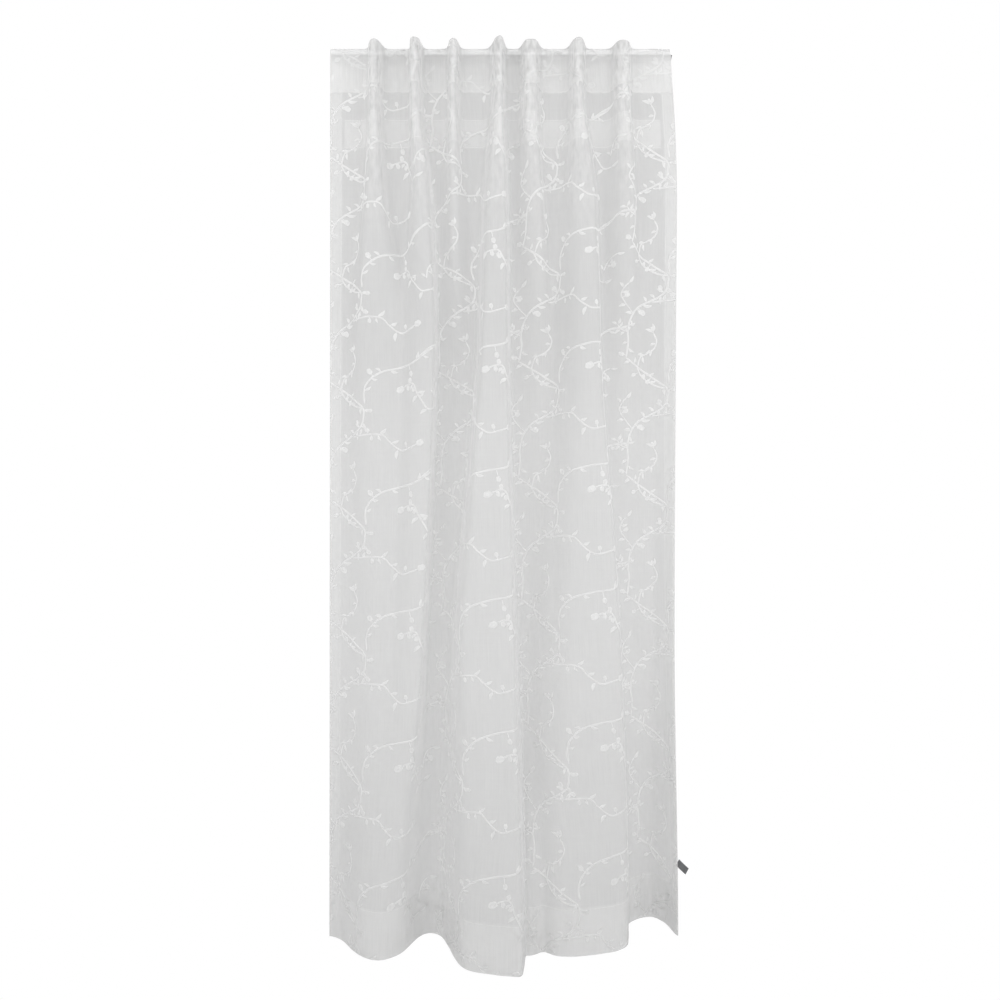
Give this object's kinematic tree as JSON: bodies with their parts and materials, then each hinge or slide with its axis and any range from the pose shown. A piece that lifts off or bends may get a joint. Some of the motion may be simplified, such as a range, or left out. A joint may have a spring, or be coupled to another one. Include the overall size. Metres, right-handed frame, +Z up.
{
  "type": "sheer voile curtain on a rod",
  "caption": "Sheer embroidered voile curtain panel, gathered on a plain round rod and hanging in soft uneven folds to a deep hem.",
  "frame": {"origin": "on the rod's centre line, at the middle of the drawn curtain, where the curtain and rod are held up", "axes": "+Z up, +X along the rod to the viewer's right, -Y out of the curtain's front towards the room"},
  "size_m": [0.9936, 0.2555, 2.4574],
  "materials": {
    "voile": "sheer plain-weave voile, near white, with tone-on-tone embroidery",
    "band_voile": "the same sheer voile",
    "rod_steel": "plain brushed steel tube",
    "label_weave": "plain dark grey woven tape"
  },
  "bodies": {
    "root": {"panel": "voile", "back_band": "band_voile", "rod": "rod_steel", "label": "label_weave"}
  },
  "joints": []
}
